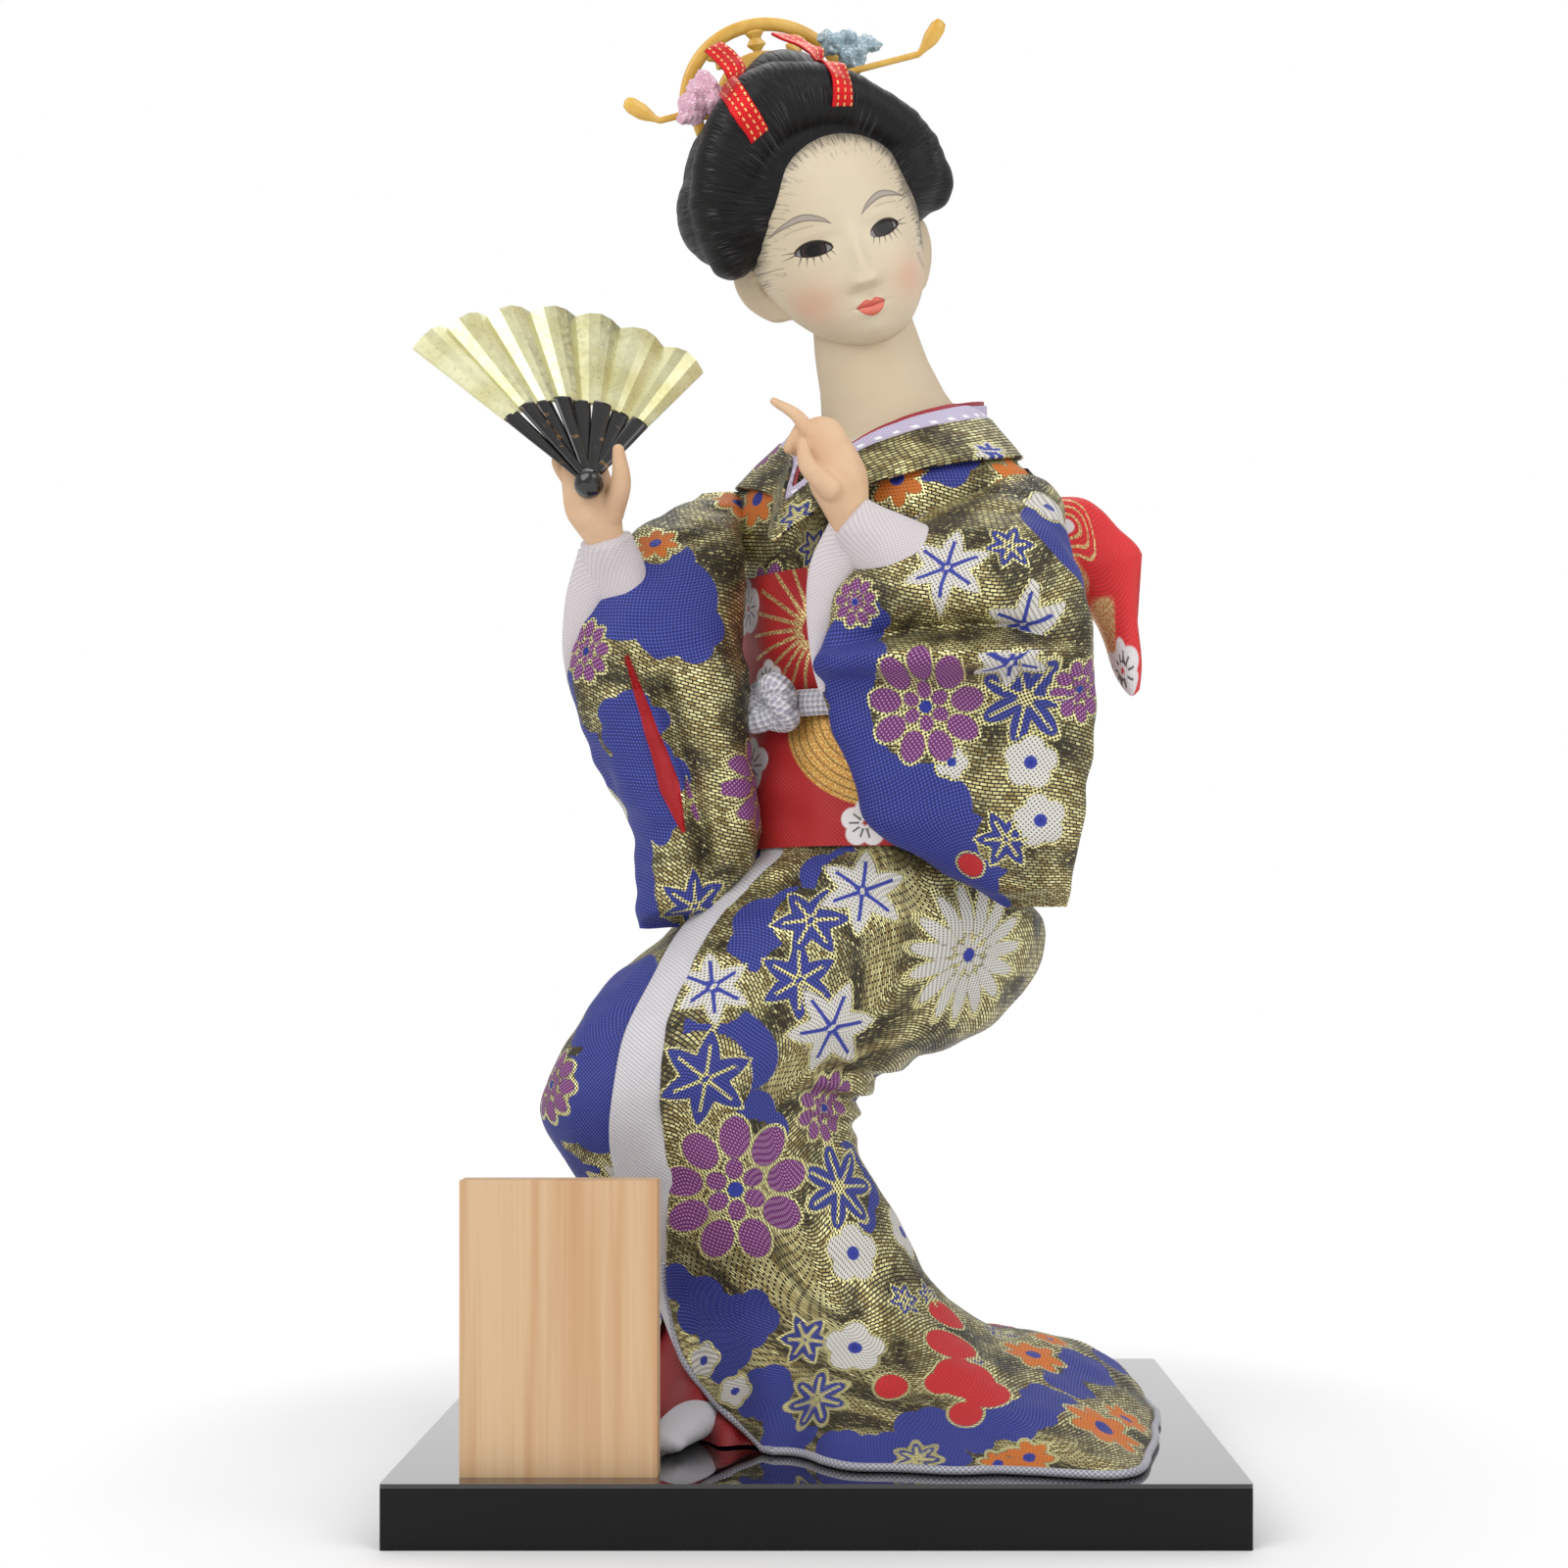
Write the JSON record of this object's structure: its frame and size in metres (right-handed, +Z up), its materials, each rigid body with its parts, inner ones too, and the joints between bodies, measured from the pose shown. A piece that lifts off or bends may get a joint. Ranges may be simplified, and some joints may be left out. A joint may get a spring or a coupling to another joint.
{
  "type": "geisha doll",
  "caption": "Dancing doll in a brocade kimono with obi, fan and dressed hair, standing on a black lacquered base beside a bare wooden plaque.",
  "frame": {"origin": "centre of the underside of the base board", "axes": "+Z up from the base to the head; +X to the viewer's right as in the picture; -Y towards the viewer"},
  "size_m": [0.1571, 0.126, 0.3021],
  "materials": {
    "base_lacquer": "satin black lacquer",
    "top_sheet": "high gloss black",
    "pine": "planed, bare",
    "steel": "plain",
    "stuffing": "stuffed cotton",
    "ivory": "satin ivory paint",
    "flesh": "matte",
    "eye": "high gloss",
    "hair": "combed nylon fibre",
    "amber": "amber, semi-gloss",
    "ribbon": "metallic weave",
    "pink_gauze": "gauze",
    "blue_gauze": "gauze",
    "brocade": "blue and gold brocade",
    "lilac": "matte weave",
    "white_cloth": "plain weave",
    "silver_cloth": "satin",
    "red_satin": "satin",
    "obi_cloth": "printed crepe",
    "cord_yarn": "braided yarn",
    "gilt": "champagne foil",
    "fan_black": "gloss"
  },
  "bodies": {
    "figure": {"base_board": "base_lacquer", "base_top_sheet": "top_sheet", "sole_block": "pine", "sole_screw_1": "steel", "sole_screw_2": "steel", "spine_rod": "steel", "arm_wire_right": "steel", "arm_wire_left": "steel", "leg_core": "stuffing", "torso_core": "stuffing", "arm_padding_right": "stuffing", "arm_padding_left": "stuffing", "hand_right": "flesh", "hand_left": "flesh", "kimono_skirt": "brocade", "skirt_overlap": "brocade", "sleeve_right": "brocade", "sleeve_left": "brocade", "bodice": "brocade", "kimono_collar": "brocade", "under_collar": "lilac", "under_sleeve_right": "white_cloth", "under_sleeve_left": "white_cloth", "foot_left": "white_cloth", "foot_right": "white_cloth", "lapel_lining": "silver_cloth", "under_skirt": "red_satin", "collar_piping": "red_satin", "obi": "obi_cloth", "bow_knot": "obi_cloth", "bow_wing_left": "obi_cloth", "bow_wing_right": "obi_cloth", "obi_cord": "cord_yarn", "obi_knot": "cord_yarn", "fan_leaf": "gilt", "fan_sticks": "fan_black", "fan_stud": "fan_black"},
    "head": {"head": "ivory", "eye_left": "eye", "eye_right": "eye", "hair_mass": "hair", "hair_top_lock": "hair", "hair_bun": "hair", "flower_pink": "pink_gauze", "flower_blue": "blue_gauze", "ribbon_left": "ribbon", "ribbon_right": "ribbon"},
    "comb": {"comb": "amber"},
    "hairpin_right": {"hairpin_right": "amber"},
    "hairpin_left": {"hairpin_left": "amber"},
    "plaque": {"plaque": "pine"}
  },
  "joints": [
    {"name": "head_turn", "type": "hinge", "parent": "figure", "child": "head", "pos_m": [0.0156, 0.0042, 0.2155], "axis": [-0.347, -0.068, 0.9354], "range_deg": [-15, 15]},
    {"name": "comb_pull", "type": "slide", "parent": "head", "child": "comb", "axis": [-0.1934, -0.2696, 0.9433], "range_m": [0, 0.02]},
    {"name": "hairpin_right_pull", "type": "slide", "parent": "head", "child": "hairpin_right", "axis": [-0.929, -0.1886, -0.3184], "range_m": [0, 0.02]},
    {"name": "hairpin_left_pull", "type": "slide", "parent": "head", "child": "hairpin_left", "axis": [0.929, 0.1886, 0.3184], "range_m": [0, 0.02]},
    {"name": "plaque_lift", "type": "slide", "parent": "figure", "child": "plaque", "axis": [0, 0, 1], "range_m": [0, 0.06]}
  ]
}
